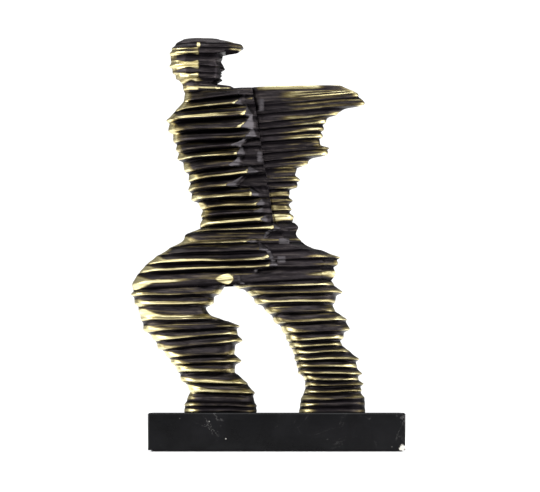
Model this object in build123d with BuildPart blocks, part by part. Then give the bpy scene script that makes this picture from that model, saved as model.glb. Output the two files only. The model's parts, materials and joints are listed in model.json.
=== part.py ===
"""Figure trophy: a ridged bronze figure in a flat cap, one arm held out, on a black marble base.

Millimetres, +Z up, origin in the middle of the felt's underside. The figure faces the front, -Y, and
turns its head and its arm to the right, +X. It is cast in six sections. Each is a stack of ridges, and
a ridge is given by its left tip and its right tip, as (x, height above the base).
"""

import os
from collections import namedtuple
from math import atan2, cos, pi, sin

from build123d import *

# ---------------------------------------------------------------- base
FELT_THICKNESS = 1.0
FELT_MARGIN = 2.0
BASE_WIDTH = 166.0
BASE_DEPTH = 80.0
BASE_THICKNESS = 24.0
BASE_CORNER = 1.5
BASE_EDGE = 0.8
BASE_TOP = FELT_THICKNESS + BASE_THICKNESS

# ---------------------------------------------------------------- fasteners, metric M6
STUD_RADIUS = 3.0
STUD_IN_FOOT = 14.0
STUD_CHAMFER = 0.6
HOLE_RADIUS = 3.5
COUNTERBORE_RADIUS = 9.5
COUNTERBORE_DEPTH = 9.0
WASHER_RADIUS = 8.0
WASHER_THICKNESS = 1.6
NUT_ACROSS_FLATS = 10.0
NUT_HEIGHT = 5.0
NUT_CHAMFER = 0.5
STUD_BELOW_NUT = 1.4
LEFT_STUD = (-38.0, 0.0)
RIGHT_STUD = (36.0, 0.0)

# ---------------------------------------------------------------- dowels between the castings
SHAFT_CLEARANCE = 0.05
DOWEL_RADIUS = 3.0
DOWEL_REACH = 8.0
DOWEL_CHAMFER = 0.4
END_CLEARANCE = 0.5
LEFT_HIP_DOWEL_X = -66.0
RIGHT_HIP_DOWEL_X = 8.0
LEFT_WAIST_DOWEL_X = -46.0
RIGHT_WAIST_DOWEL_X = -9.5
LOWER_ARM_DOWEL = 138.0
UPPER_ARM_DOWEL = 196.0
NECK_DOWEL_X = -50.0

# ---------------------------------------------------------------- the hollows that the casting cores leave
# Each is (height above the base, left, right, half depth), at its bottom and at its top.
PELVIS_CORE = [(94.0, -44.0, -12.0, 11.0), (130.0, -40.0, -16.0, 8.0)]
TORSO_CORE = [(114.0, -40.0, -16.5, 8.0), (150.0, -46.0, -20.0, 8.0), (186.0, -58.0, -32.0, 11.0)]

# ---------------------------------------------------------------- ridges
# A groove is cut to its full depth at the front and back, and only a share of it at the left and right tips.
CREST_THICKNESS = 1.3
LEG_GROOVE_DEPTH = 2.6
PELVIS_GROOVE_DEPTH = 3.0
TORSO_GROOVE_DEPTH = 4.8
ARM_GROOVE_DEPTH = 1.2
ARM_CREST_THICKNESS = 2.0
LEFT_TIP_SHARE = 0.35
RIGHT_TIP_SHARE = 0.8

Ridge = namedtuple("Ridge", "left left_height right right_height")
CutRidge = namedtuple("CutRidge", "left left_height arris arris_height facet_end")

# The joints between the castings are flat and rise a little to the right, as the ridges beside them do.
HIP_JOINT = Ridge(-96.0, 80.4, 40.0, 87.5)
HIP_TIPS = {"left": (-95.6, -31.2), "right": (-30.2, 38.8)}
WAIST_JOINT = Ridge(-52.0, 121.0, 14.0, 125.4)
NECK_JOINT = Ridge(-61.5, 211.2, -24.0, 213.8)
# The arm meets the torso on a plane that leans back as it goes up.
ARM_JOINT_FOOT = (-2.6, 122.1)
ARM_JOINT_TOP = (-17.2, 214.6)

LEFT_LEG = [
    Ridge(-61.5, 0.6, -12.0, 0.6),
    Ridge(-61.3, 5.2, -12.2, 4.4),
    Ridge(-57.4, 13.6, -13.7, 13.2),
    Ridge(-63.5, 20.9, -18.6, 19.4),
    Ridge(-66.0, 27.6, -27.2, 27.2),
    Ridge(-70.0, 32.4, -22.2, 33.9),
    Ridge(-73.0, 36.6, -27.4, 39.2),
    Ridge(-79.0, 42.0, -21.6, 47.8),
    Ridge(-82.0, 47.6, -25.0, 52.4),
    Ridge(-88.4, 53.4, -23.1, 57.0),
    Ridge(-90.2, 60.6, -34.8, 61.6),
    Ridge(-91.6, 66.2, -46.0, 66.4),
    Ridge(-94.2, 71.6, -40.8, 71.8),
    Ridge(-96.6, 77.4, -36.2, 78.4),
]
RIGHT_LEG = [
    Ridge(14.0, 0.6, 59.3, 0.6),
    Ridge(15.0, 8.3, 58.8, 9.4),
    Ridge(17.6, 13.4, 56.6, 14.2),
    Ridge(18.2, 17.6, 58.2, 18.4),
    Ridge(17.6, 22.0, 54.4, 21.8),
    Ridge(13.6, 26.0, 57.4, 25.4),
    Ridge(12.8, 30.0, 53.4, 30.4),
    Ridge(11.2, 34.6, 55.6, 35.4),
    Ridge(10.4, 39.0, 49.4, 40.2),
    Ridge(8.0, 43.2, 43.4, 44.8),
    Ridge(6.2, 47.6, 44.6, 48.8),
    Ridge(3.6, 53.2, 49.0, 54.6),
    Ridge(-2.0, 59.4, 47.0, 61.4),
    Ridge(-7.0, 66.2, 39.2, 67.0),
    Ridge(-14.8, 72.6, 39.4, 72.8),
    Ridge(-19.0, 77.8, 44.6, 79.4),
    Ridge(-27.0, 82.2, 38.6, 84.2),
]
PELVIS = [
    CutRidge(-95.4, 84.6, -30.4, 87.9, -23.0),
    CutRidge(-90.2, 92.6, -5.0, 96.0, 2.0),
    CutRidge(-85.4, 98.0, -8.4, 100.2, 0.0),
    CutRidge(-76.6, 104.2, -12.0, 106.6, -4.0),
    CutRidge(-68.8, 109.4, -20.4, 111.4, -12.0),
    CutRidge(-60.8, 114.4, -5.3, 117.4, 2.6),
    CutRidge(-56.6, 118.2, -2.0, 120.8, 5.4),
]
# The right tips of the pelvis's ridges, which run on past the cut in their front face.
PELVIS_RIGHT = [39.0, 40.6, 43.0, 24.6, 16.6, 13.8, 15.2]
TORSO = [
    CutRidge(-50.6, 123.8, -10.8, 126.6, -3.6),
    CutRidge(-50.2, 129.2, -16.0, 131.2, -6.0),
    CutRidge(-50.4, 134.6, -14.0, 136.6, -5.6),
    CutRidge(-56.6, 139.6, -16.6, 142.8, -9.4),
    CutRidge(-58.6, 146.8, -33.6, 149.0, -24.0),
    CutRidge(-58.2, 153.2, -20.0, 157.4, -9.0),
    CutRidge(-60.8, 159.0, -32.0, 162.0, -22.0),
    CutRidge(-65.8, 166.6, -26.0, 169.8, -20.0),
    CutRidge(-66.6, 173.0, -30.0, 175.4, -22.0),
    CutRidge(-68.4, 178.8, -20.6, 180.6, -12.6),
    CutRidge(-71.8, 186.0, -23.6, 187.2, -14.2),
    CutRidge(-73.2, 193.0, -20.8, 195.6, -14.6),
    CutRidge(-67.0, 199.6, -27.4, 203.6, -20.0),
    CutRidge(-61.4, 205.8, -25.4, 209.6, -19.4),
]
ARM = [
    Ridge(0.0, 128.0, 11.4, 128.8),
    Ridge(0.0, 133.0, 10.0, 133.8),
    Ridge(0.0, 138.8, 10.8, 139.6),
    Ridge(0.0, 143.6, 8.6, 144.4),
    Ridge(0.0, 148.4, 14.0, 149.6),
    Ridge(0.0, 152.6, 15.8, 153.8),
    Ridge(0.0, 158.0, 13.4, 159.2),
    Ridge(0.0, 163.0, 20.8, 164.8),
    Ridge(0.0, 167.6, 34.0, 171.2),
    Ridge(0.0, 171.6, 35.4, 174.8),
    Ridge(0.0, 175.8, 28.6, 178.4),
    Ridge(0.0, 180.0, 30.6, 182.8),
    Ridge(0.0, 184.4, 31.4, 187.4),
    Ridge(0.0, 188.8, 33.0, 192.0),
    Ridge(0.0, 193.4, 40.4, 197.2),
    Ridge(0.0, 199.0, 58.6, 204.4),
    Ridge(0.0, 205.0, 54.4, 210.2),
]
ARM_TOP = Ridge(0.0, 215.2, 43.0, 216.4)

# ---------------------------------------------------------------- depth of the figure, front and back
# Each station is (height above the base, front, back), and the depth runs straight from one to the next.
LEG_DEPTHS = [(0.0, 19.0, 18.0), (12.0, 16.0, 15.0), (45.0, 16.5, 16.0), (84.0, 20.0, 19.0)]
BODY_DEPTHS = [
    (84.0, 20.5, 19.5),
    (100.0, 21.0, 19.5),
    (120.0, 17.0, 15.5),
    (140.0, 17.5, 15.5),
    (190.0, 21.0, 19.0),
    (206.0, 16.0, 15.0),
    (212.0, 10.5, 10.5),
]
ARM_DEPTHS = [(120.0, 11.5, 11.0), (150.0, 11.0, 11.0), (190.0, 12.5, 12.0), (216.0, 7.5, 7.5)]
ARM_TIP_SHARE = 0.55
PELVIS_SET_BACK = 5.0
PELVIS_TIP_LENGTH = 9.0
# The cut facet where each casting meets a joint, as (arris, facet end).
PELVIS_HIP_FACET = (-28.0, -20.0)
PELVIS_WAIST_FACET = (-6.0, 1.0)
TORSO_WAIST_FACET = (-10.8, -3.8)
TORSO_NECK_FACET = (-27.0, -20.0)

# ---------------------------------------------------------------- head and cap
# The front is the face's middle line, and the cheek is how far forward the face comes beside it.
HeadRidge = namedtuple("HeadRidge", "left left_height right right_height cheek half_width")
HEAD = [
    HeadRidge(-62.0, 214.9, -30.6, 217.2, -38.0, 9.6),
    HeadRidge(-64.4, 218.2, -34.9, 219.2, -40.0, 9.6),
    HeadRidge(-66.8, 221.4, -34.6, 222.0, -39.6, 12.2),
    HeadRidge(-69.0, 225.2, -31.2, 225.4, -39.2, 11.8),
    HeadRidge(-71.0, 229.2, -33.4, 229.5, -40.4, 14.4),
    HeadRidge(-70.2, 233.4, -35.0, 233.7, -37.4, 13.2),
]
CAP = [
    HeadRidge(-70.9, 237.4, -35.4, 237.7, -36.4, 15.4),
    HeadRidge(-69.6, 240.8, -33.6, 241.2, -35.0, 15.6),
    HeadRidge(-66.8, 243.9, -32.8, 244.4, -34.6, 13.6),
]
CROWN = HeadRidge(-62.0, 247.0, -38.0, 247.2, -40.0, 8.0)
NOSE_HALF_WIDTH = 1.8
HEAD_ARRIS = -51.5
HEAD_FACET_END = -48.0
HEAD_SET_BACK = 1.6
HEAD_GROOVE_DEPTH = 0.9
# The section on the neck joint, as (back, front, cheek, half width).
NECK = (-61.2, -25.5, -36.0, 9.4)
PEAK_ROOT = -46.0
# Each outline of the peak, a thick wedge, is (height above the base, tip, half width at the root).
PEAK = [
    (236.4, -31.6, 12.0),
    (239.4, -23.8, 12.8),
    (241.2, -21.4, 13.4),
    (242.8, -22.8, 13.2),
    (245.6, -31.6, 10.8),
    (246.9, -38.6, 7.8),
]
PEAK_SHOULDER = 0.30
PEAK_SHOULDER_WIDTH = 0.86
PEAK_TIP_HALF_WIDTH = 4.6


def between(stations, height):
    """The front and back depth at a height, read off a list of stations."""
    for (low, *at_low), (high, *at_high) in zip(stations, stations[1:]):
        if height <= high:
            share = max(0.0, (height - low) / (high - low))
            return [a + (b - a) * share for a, b in zip(at_low, at_high)]
    return list(stations[-1][1:])


def ridge_plane(left, left_height, right, right_height):
    """The plane of a ridge: it passes through both tips and lies level from front to back."""
    tilt = atan2(right_height - left_height, right - left)
    middle = ((left + right) / 2, 0, (left_height + right_height) / 2 + BASE_TOP)
    return Plane(middle, x_dir=(cos(tilt), 0, sin(tilt)), z_dir=(-sin(tilt), 0, cos(tilt)))


def section(plane, outline):
    """A face on a ridge plane. The outline's x is the row's own, so it is stretched along the tilt."""
    local = [((x - plane.origin.X) / plane.x_dir.X, y) for x, y in outline]
    with BuildSketch(plane) as face:
        with BuildLine():
            Polyline(*local, close=True)
        make_face()
    return face.sketch


def height_on(joint, x):
    """How high above the base a sloping joint is at x."""
    slope = (joint.right_height - joint.left_height) / (joint.right - joint.left)
    return joint.left_height + slope * (x - joint.left)


def moved(ridge, lift):
    """The same ridge, higher or lower."""
    names = [n for n in ridge._fields if n.endswith("height")]
    return ridge._replace(**{n: getattr(ridge, n) + lift for n in names})


def halfway(low, high):
    """The groove's line between two ridges: halfway up, and as far out as the one that stands out less."""
    fields = {n: (getattr(low, n) + getattr(high, n)) / 2 for n in low._fields}
    return type(low)(**fields)


def layers(ridges, crest=CREST_THICKNESS):
    """Every section of a stack from the bottom up, as (ridge, how much of the groove's depth it is cut)."""
    found = []
    for i, ridge in enumerate(ridges):
        found.append((moved(ridge, -crest / 2), 0.0))
        found.append((moved(ridge, crest / 2), 0.0))
        if i + 1 < len(ridges):
            found.append((halfway(ridge, ridges[i + 1]), 1.0))
    return found


def oval(left, right, front, back, corners=14, squareness=0.72):
    """A rounded outline, fuller than an ellipse."""
    middle, half = (left + right) / 2, (right - left) / 2
    points = []
    for k in range(corners):
        angle = 2 * pi * (k + 0.5) / corners
        c, s = cos(angle), sin(angle)
        x = middle + half * abs(c) ** squareness * (1 if c > 0 else -1)
        y = (back if s > 0 else front) * abs(s) ** squareness * (1 if s > 0 else -1)
        points.append((x, y))
    return points


def leg_outline(ridge, cut):
    height = (ridge.left_height + ridge.right_height) / 2
    front, back = between(LEG_DEPTHS, height)
    g = LEG_GROOVE_DEPTH * cut
    return oval(ridge.left + LEFT_TIP_SHARE * g, ridge.right - RIGHT_TIP_SHARE * g, front - g, back - g)


def on_joint(joint, left, right):
    """The part of a joint's plane between two tips."""
    return Ridge(left, height_on(joint, left), right, height_on(joint, right))


def cut_on_joint(joint, left, arris, facet_end):
    """The section on a sloping joint, with its cut facet from one x to the other."""
    return CutRidge(left, height_on(joint, left), arris, height_on(joint, arris), facet_end)


def leg_sections(ridges, hip_tips):
    """A leg stands level on the base and ends at the sloping hip joint."""
    sole = ridges[0]._replace(left_height=0.0, right_height=0.0)
    stack = [(sole, 0.0)] + layers(ridges[1:]) + [(on_joint(HIP_JOINT, *hip_tips), 1.0)]
    return [section(ridge_plane(*ridge), leg_outline(ridge, cut)) for ridge, cut in stack]


def pelvis_outline(ridge, right, cut):
    """The pelvis stands out on the left of the front, ends in a cut facet, and is set back on the right."""
    front, back = between(BODY_DEPTHS, (ridge.left_height + ridge.arris_height) / 2)
    g = PELVIS_GROOVE_DEPTH * cut
    left, width = ridge.left + LEFT_TIP_SHARE * g, ridge.arris - ridge.left
    tip = right - RIGHT_TIP_SHARE * g
    set_back = front - PELVIS_SET_BACK
    arris = ridge.arris + (ridge.facet_end - ridge.arris) * 0.8 * g / PELVIS_SET_BACK
    return [
        (left, -0.3 * front),
        (left + 0.10 * width, -0.74 * (front - g)),
        (left + 0.30 * width, -(front - g)),
        (arris, -(front - g)),
        (ridge.facet_end, -(set_back - g / 3)),
        (tip - PELVIS_TIP_LENGTH, -(set_back - g / 3)),
        (tip, -0.35 * set_back),
        (tip, 0.35 * set_back),
        (tip - PELVIS_TIP_LENGTH, back - 2.0 - g / 3),
        (ridge.arris, back - g),
        (left + 0.30 * width, back - g),
        (left + 0.10 * width, 0.74 * (back - g)),
        (left, 0.3 * back),
    ]


def pelvis_sections():
    """From the hip joint up to the waist joint."""
    left, right = HIP_TIPS["left"][0], HIP_TIPS["right"][1]
    hip = cut_on_joint(HIP_JOINT, left, *PELVIS_HIP_FACET)
    waist = cut_on_joint(WAIST_JOINT, WAIST_JOINT.left, *PELVIS_WAIST_FACET)
    rights = [right]
    for i, right in enumerate(PELVIS_RIGHT):
        rights += [right, right]
        if i + 1 < len(PELVIS_RIGHT):
            rights.append((right + PELVIS_RIGHT[i + 1]) / 2)
    rights.append(WAIST_JOINT.right)
    stack = [(hip, 1.0)] + layers(PELVIS) + [(waist, 1.0)]
    return [
        section(ridge_plane(*ridge[:4]), pelvis_outline(ridge, right, cut))
        for (ridge, cut), right in zip(stack, rights)
    ]


def arm_joint_x(left, left_height, slope):
    """Where a sloping line through (left, left_height) meets the leaning plane of the arm joint."""
    foot_x, foot_height = ARM_JOINT_FOOT
    lean = (ARM_JOINT_TOP[0] - foot_x) / (ARM_JOINT_TOP[1] - foot_height)
    return (foot_x + lean * (left_height - slope * left - foot_height)) / (1 - lean * slope)


def torso_outline(ridge, cut):
    """The back half of the torso, which stands out in front and ends in a cut facet before the arm joint."""
    height = (ridge.left_height + ridge.arris_height) / 2
    front, back = between(BODY_DEPTHS, height)
    arm_front, arm_back = between(ARM_DEPTHS, height)
    slope = (ridge.arris_height - ridge.left_height) / (ridge.arris - ridge.left)
    join = arm_joint_x(ridge.left, ridge.left_height, slope)
    facet_end = min(ridge.facet_end, join - 0.4)
    g = TORSO_GROOVE_DEPTH * cut
    left, width = ridge.left + LEFT_TIP_SHARE * g, ridge.arris - ridge.left
    # The facet is one flat cut, so where the groove takes the front back the arris moves along it.
    set_back = arm_front + 1.2
    arris = ridge.arris + (facet_end - ridge.arris) * min(0.9, g / (front - set_back))
    return [
        (left, -0.28 * front),
        (left + 0.12 * width, -0.70 * (front - g)),
        (left + 0.36 * width, -(front - g)),
        (arris, -max(front - g, set_back + 0.3)),
        (facet_end, -(set_back - ARM_GROOVE_DEPTH * cut)),
        (join, -(arm_front - ARM_GROOVE_DEPTH * cut)),
        (join, arm_back - ARM_GROOVE_DEPTH * cut),
        (facet_end, arm_back + 1.2 - ARM_GROOVE_DEPTH * cut),
        (ridge.arris, back - g),
        (left + 0.36 * width, back - g),
        (left + 0.12 * width, 0.70 * (back - g)),
        (left, 0.28 * back),
    ]


def torso_sections():
    """From the waist joint up to the steeper neck joint."""
    waist = cut_on_joint(WAIST_JOINT, WAIST_JOINT.left, *TORSO_WAIST_FACET)
    neck = cut_on_joint(NECK_JOINT, NECK_JOINT.left, *TORSO_NECK_FACET)
    stack = [(waist, 1.0)] + layers(TORSO) + [(neck, 0.5)]
    return [section(ridge_plane(*ridge[:4]), torso_outline(ridge, cut)) for ridge, cut in stack]


def arm_outline(ridge, cut):
    """The arm and what hangs from it: thick at the torso, thin and rounded at the tip."""
    height = (ridge.left_height + ridge.right_height) / 2
    front, back = between(ARM_DEPTHS, height)
    slope = (ridge.right_height - ridge.left_height) / ridge.right if ridge.right else 0.0
    join = arm_joint_x(0.0, ridge.left_height, slope)
    g = ARM_GROOVE_DEPTH * cut
    right = ridge.right - 2.0 * g
    width = right - join
    near, far = front - g, (front - g) * ARM_TIP_SHARE
    return [
        (join, -near),
        (join + 0.45 * width, -(near + far) / 2),
        (right - 0.16 * width, -far),
        (right, -0.4 * far),
        (right, 0.4 * far),
        (right - 0.16 * width, far),
        (join + 0.45 * width, (near + far) / 2),
        (join, back - g),
    ]


def arm_sections():
    """From the waist joint up to the top of the arm."""
    stack = [(on_joint(WAIST_JOINT, 0.0, 12.8), 1.0)] + layers(ARM, ARM_CREST_THICKNESS) + [(ARM_TOP, 0.0)]
    return [section(ridge_plane(*ridge), arm_outline(ridge, cut)) for ridge, cut in stack]


def head_outline(ridge, cut):
    """A head seen from above: round at the back, with cheeks, and the face's middle line standing forward."""
    g = HEAD_GROOVE_DEPTH * cut
    back, wide = ridge.left + g, ridge.half_width - g
    cheek, front = ridge.cheek - g, ridge.right - g
    length = cheek - back
    one_side = [
        (back, 0.26 * wide),
        (back + 0.12 * length, 0.68 * wide),
        (back + 0.32 * length, 0.96 * wide),
        (HEAD_ARRIS, wide),
        (HEAD_FACET_END, wide - HEAD_SET_BACK),
        (back + 0.88 * length, 0.78 * wide - 0.5 * HEAD_SET_BACK),
        (cheek, 0.40 * wide),
        (front, NOSE_HALF_WIDTH),
    ]
    return [(x, -y) for x, y in one_side] + list(reversed(one_side))


def head_sections():
    """From the sloping neck joint up to the crown of the cap."""
    back, front, cheek, half_width = NECK
    back_height, front_height = height_on(NECK_JOINT, back), height_on(NECK_JOINT, front)
    neck = HeadRidge(back, back_height, front, front_height, cheek, half_width)
    stack = [(neck, 0.5)] + layers(HEAD) + layers(CAP) + [(CROWN, 0.0)]
    return [section(ridge_plane(*ridge[:4]), head_outline(ridge, cut)) for ridge, cut in stack]


def peak_sections():
    """The cap's peak, which slopes down from the crown to a blunt edge and back up under it to the brow."""
    found = []
    for height, tip, half_width in PEAK:
        shoulder = (tip - PEAK_SHOULDER * (tip - PEAK_ROOT), PEAK_SHOULDER_WIDTH * half_width)
        one_side = [(PEAK_ROOT, half_width), shoulder, (tip, PEAK_TIP_HALF_WIDTH)]
        outline = [(x, -y) for x, y in one_side] + list(reversed(one_side))
        found.append(section(Plane.XY.offset(BASE_TOP + height), outline))
    return found


def core_sections(core):
    """The hollow left by a core, as level rounded outlines."""
    return [
        section(Plane.XY.offset(BASE_TOP + height), oval(left, right, half_depth, half_depth))
        for height, left, right, half_depth in core
    ]


def bore(x, height, along=(0, 0, 0), radius=DOWEL_RADIUS, reach=DOWEL_REACH):
    """A blind hole half in each of two castings, centred on their joint."""
    with Locations((x, 0, BASE_TOP + height)):
        Cylinder(radius + SHAFT_CLEARANCE, 2 * (reach + END_CLEARANCE), rotation=along, mode=Mode.SUBTRACT)


LEFT_HIP_DOWEL = (LEFT_HIP_DOWEL_X, height_on(HIP_JOINT, LEFT_HIP_DOWEL_X))
RIGHT_HIP_DOWEL = (RIGHT_HIP_DOWEL_X, height_on(HIP_JOINT, RIGHT_HIP_DOWEL_X))
LEFT_WAIST_DOWEL = (LEFT_WAIST_DOWEL_X, height_on(WAIST_JOINT, LEFT_WAIST_DOWEL_X))
RIGHT_WAIST_DOWEL = (RIGHT_WAIST_DOWEL_X, height_on(WAIST_JOINT, RIGHT_WAIST_DOWEL_X))
NECK_DOWEL = (NECK_DOWEL_X, height_on(NECK_JOINT, NECK_DOWEL_X))
ALONG_X = (0, 90, 0)
UPRIGHT = (0, 0, 0)

os.makedirs("parts", exist_ok=True)

# ---------------------------------------------------------------- base
with BuildPart() as marble_base:
    with BuildSketch(Plane.XY.offset(FELT_THICKNESS)):
        RectangleRounded(BASE_WIDTH, BASE_DEPTH, BASE_CORNER)
    extrude(amount=BASE_THICKNESS)
    chamfer(marble_base.faces().sort_by(Axis.Z)[-1].edges(), BASE_EDGE)
    with Locations(Plane.XY.offset(FELT_THICKNESS) * Rotation(180, 0, 0)):
        with Locations((LEFT_STUD[0], 0), (RIGHT_STUD[0], 0)):
            CounterBoreHole(HOLE_RADIUS, COUNTERBORE_RADIUS, COUNTERBORE_DEPTH, BASE_THICKNESS)
marble_base.part.label = "marble_base"
export_step(marble_base.part, "parts/marble_base.step")

with BuildPart() as felt_pad:
    with BuildSketch():
        RectangleRounded(BASE_WIDTH - 2 * FELT_MARGIN, BASE_DEPTH - 2 * FELT_MARGIN, BASE_CORNER)
    extrude(amount=FELT_THICKNESS)
felt_pad.part.label = "felt_pad"
export_step(felt_pad.part, "parts/felt_pad.step")

# ---------------------------------------------------------------- castings
with BuildPart() as left_leg_casting:
    loft(leg_sections(LEFT_LEG, HIP_TIPS["left"]), ruled=True)
    bore(*LEFT_HIP_DOWEL)
    bore(LEFT_STUD[0], 0.0, radius=STUD_RADIUS, reach=STUD_IN_FOOT)
left_leg_casting.part.label = "left_leg_casting"
export_step(left_leg_casting.part, "parts/left_leg_casting.step")

with BuildPart() as right_leg_casting:
    loft(leg_sections(RIGHT_LEG, HIP_TIPS["right"]), ruled=True)
    bore(*RIGHT_HIP_DOWEL)
    bore(RIGHT_STUD[0], 0.0, radius=STUD_RADIUS, reach=STUD_IN_FOOT)
right_leg_casting.part.label = "right_leg_casting"
export_step(right_leg_casting.part, "parts/right_leg_casting.step")

with BuildPart() as pelvis_casting:
    loft(pelvis_sections(), ruled=True)
    loft(core_sections(PELVIS_CORE), ruled=True, mode=Mode.SUBTRACT)
    bore(*LEFT_HIP_DOWEL)
    bore(*RIGHT_HIP_DOWEL)
    bore(*LEFT_WAIST_DOWEL)
    bore(*RIGHT_WAIST_DOWEL)
pelvis_casting.part.label = "pelvis_casting"
export_step(pelvis_casting.part, "parts/pelvis_casting.step")

with BuildPart() as torso_casting:
    loft(torso_sections(), ruled=True)
    loft(core_sections(TORSO_CORE), ruled=True, mode=Mode.SUBTRACT)
    bore(*LEFT_WAIST_DOWEL)
    bore(*RIGHT_WAIST_DOWEL)
    bore(arm_joint_x(0, LOWER_ARM_DOWEL, 0), LOWER_ARM_DOWEL, ALONG_X)
    bore(arm_joint_x(0, UPPER_ARM_DOWEL, 0), UPPER_ARM_DOWEL, ALONG_X)
    bore(*NECK_DOWEL)
torso_casting.part.label = "torso_casting"
export_step(torso_casting.part, "parts/torso_casting.step")

with BuildPart() as arm_casting:
    loft(arm_sections(), ruled=True)
    bore(arm_joint_x(0, LOWER_ARM_DOWEL, 0), LOWER_ARM_DOWEL, ALONG_X)
    bore(arm_joint_x(0, UPPER_ARM_DOWEL, 0), UPPER_ARM_DOWEL, ALONG_X)
arm_casting.part.label = "arm_casting"
export_step(arm_casting.part, "parts/arm_casting.step")

with BuildPart() as head_casting:
    loft(head_sections(), ruled=True)
    loft(peak_sections(), ruled=True)
    bore(*NECK_DOWEL)
head_casting.part.label = "head_casting"
export_step(head_casting.part, "parts/head_casting.step")

# ---------------------------------------------------------------- dowels
DOWELS = {
    "left_hip_dowel": (*LEFT_HIP_DOWEL, UPRIGHT),
    "right_hip_dowel": (*RIGHT_HIP_DOWEL, UPRIGHT),
    "left_waist_dowel": (*LEFT_WAIST_DOWEL, UPRIGHT),
    "right_waist_dowel": (*RIGHT_WAIST_DOWEL, UPRIGHT),
    "lower_arm_dowel": (arm_joint_x(0, LOWER_ARM_DOWEL, 0), LOWER_ARM_DOWEL, ALONG_X),
    "upper_arm_dowel": (arm_joint_x(0, UPPER_ARM_DOWEL, 0), UPPER_ARM_DOWEL, ALONG_X),
    "neck_dowel": (*NECK_DOWEL, UPRIGHT),
}
for name, (x, height, along) in DOWELS.items():
    with BuildPart() as dowel:
        with Locations((x, 0, BASE_TOP + height)):
            Cylinder(DOWEL_RADIUS, 2 * DOWEL_REACH, rotation=along)
        chamfer(dowel.edges().filter_by(GeomType.CIRCLE), DOWEL_CHAMFER)
    dowel.part.label = name
    export_step(dowel.part, f"parts/{name}.step")

# ---------------------------------------------------------------- a stud, a washer and a nut under each foot
SEAT = FELT_THICKNESS + COUNTERBORE_DEPTH
NUT_TOP = SEAT - WASHER_THICKNESS
STUD_FOOT = NUT_TOP - NUT_HEIGHT - STUD_BELOW_NUT
for side, centre in {"left": LEFT_STUD, "right": RIGHT_STUD}.items():
    with BuildPart() as stud:
        with BuildSketch(Plane.XY.offset(STUD_FOOT)):
            with Locations(centre):
                Circle(STUD_RADIUS)
        extrude(amount=BASE_TOP + STUD_IN_FOOT - STUD_FOOT)
        chamfer(stud.edges().filter_by(GeomType.CIRCLE), STUD_CHAMFER)
    stud.part.label = f"{side}_stud"
    export_step(stud.part, f"parts/{side}_stud.step")

    with BuildPart() as washer:
        with BuildSketch(Plane.XY.offset(NUT_TOP)):
            with Locations(centre):
                Circle(WASHER_RADIUS)
                Circle(HOLE_RADIUS, mode=Mode.SUBTRACT)
        extrude(amount=WASHER_THICKNESS)
    washer.part.label = f"{side}_washer"
    export_step(washer.part, f"parts/{side}_washer.step")

    with BuildPart() as nut:
        with BuildSketch(Plane.XY.offset(NUT_TOP - NUT_HEIGHT)):
            with Locations(centre):
                RegularPolygon(NUT_ACROSS_FLATS / 2, 6, major_radius=False)
                Circle(STUD_RADIUS + SHAFT_CLEARANCE, mode=Mode.SUBTRACT)
        extrude(amount=NUT_HEIGHT)
        chamfer(nut.edges().filter_by(GeomType.CIRCLE), NUT_CHAMFER)
    nut.part.label = f"{side}_nut"
    export_step(nut.part, f"parts/{side}_nut.step")
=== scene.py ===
"""Figure trophy: a bronze figure of stacked ridges on a black marble slab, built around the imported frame.

The CAD castings carry the figure's shape as plain ridges. Each one is read back here as sections along its
own bedding, its ridges get overhanging crests, minor ridges and uneven edges, and the result replaces it.
"""

import json
from collections import namedtuple
from math import inf, pi

import bmesh
import bpy
import numpy as np
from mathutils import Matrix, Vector


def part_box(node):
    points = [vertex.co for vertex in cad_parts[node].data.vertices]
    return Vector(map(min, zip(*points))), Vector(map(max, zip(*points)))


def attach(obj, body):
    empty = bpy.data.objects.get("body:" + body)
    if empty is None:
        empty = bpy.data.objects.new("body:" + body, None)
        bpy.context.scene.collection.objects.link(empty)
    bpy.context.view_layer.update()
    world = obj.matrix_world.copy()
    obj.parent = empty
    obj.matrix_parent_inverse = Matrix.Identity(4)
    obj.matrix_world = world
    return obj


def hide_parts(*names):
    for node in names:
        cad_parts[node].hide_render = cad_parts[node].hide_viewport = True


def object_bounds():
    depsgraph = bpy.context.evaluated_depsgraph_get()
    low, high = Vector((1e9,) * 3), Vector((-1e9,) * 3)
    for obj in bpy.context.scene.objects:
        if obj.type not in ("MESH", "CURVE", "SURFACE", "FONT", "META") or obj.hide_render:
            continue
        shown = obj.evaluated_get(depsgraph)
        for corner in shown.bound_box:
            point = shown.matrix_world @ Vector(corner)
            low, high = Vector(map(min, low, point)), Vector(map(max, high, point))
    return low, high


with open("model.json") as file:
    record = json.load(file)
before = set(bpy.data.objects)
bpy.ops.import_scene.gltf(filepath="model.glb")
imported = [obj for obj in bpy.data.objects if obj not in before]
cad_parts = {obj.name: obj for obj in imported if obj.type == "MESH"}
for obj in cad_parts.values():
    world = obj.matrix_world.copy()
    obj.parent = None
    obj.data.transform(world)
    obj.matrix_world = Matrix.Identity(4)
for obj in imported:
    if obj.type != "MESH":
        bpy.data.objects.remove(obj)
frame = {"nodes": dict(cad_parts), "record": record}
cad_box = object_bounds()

MM = 0.001

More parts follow.
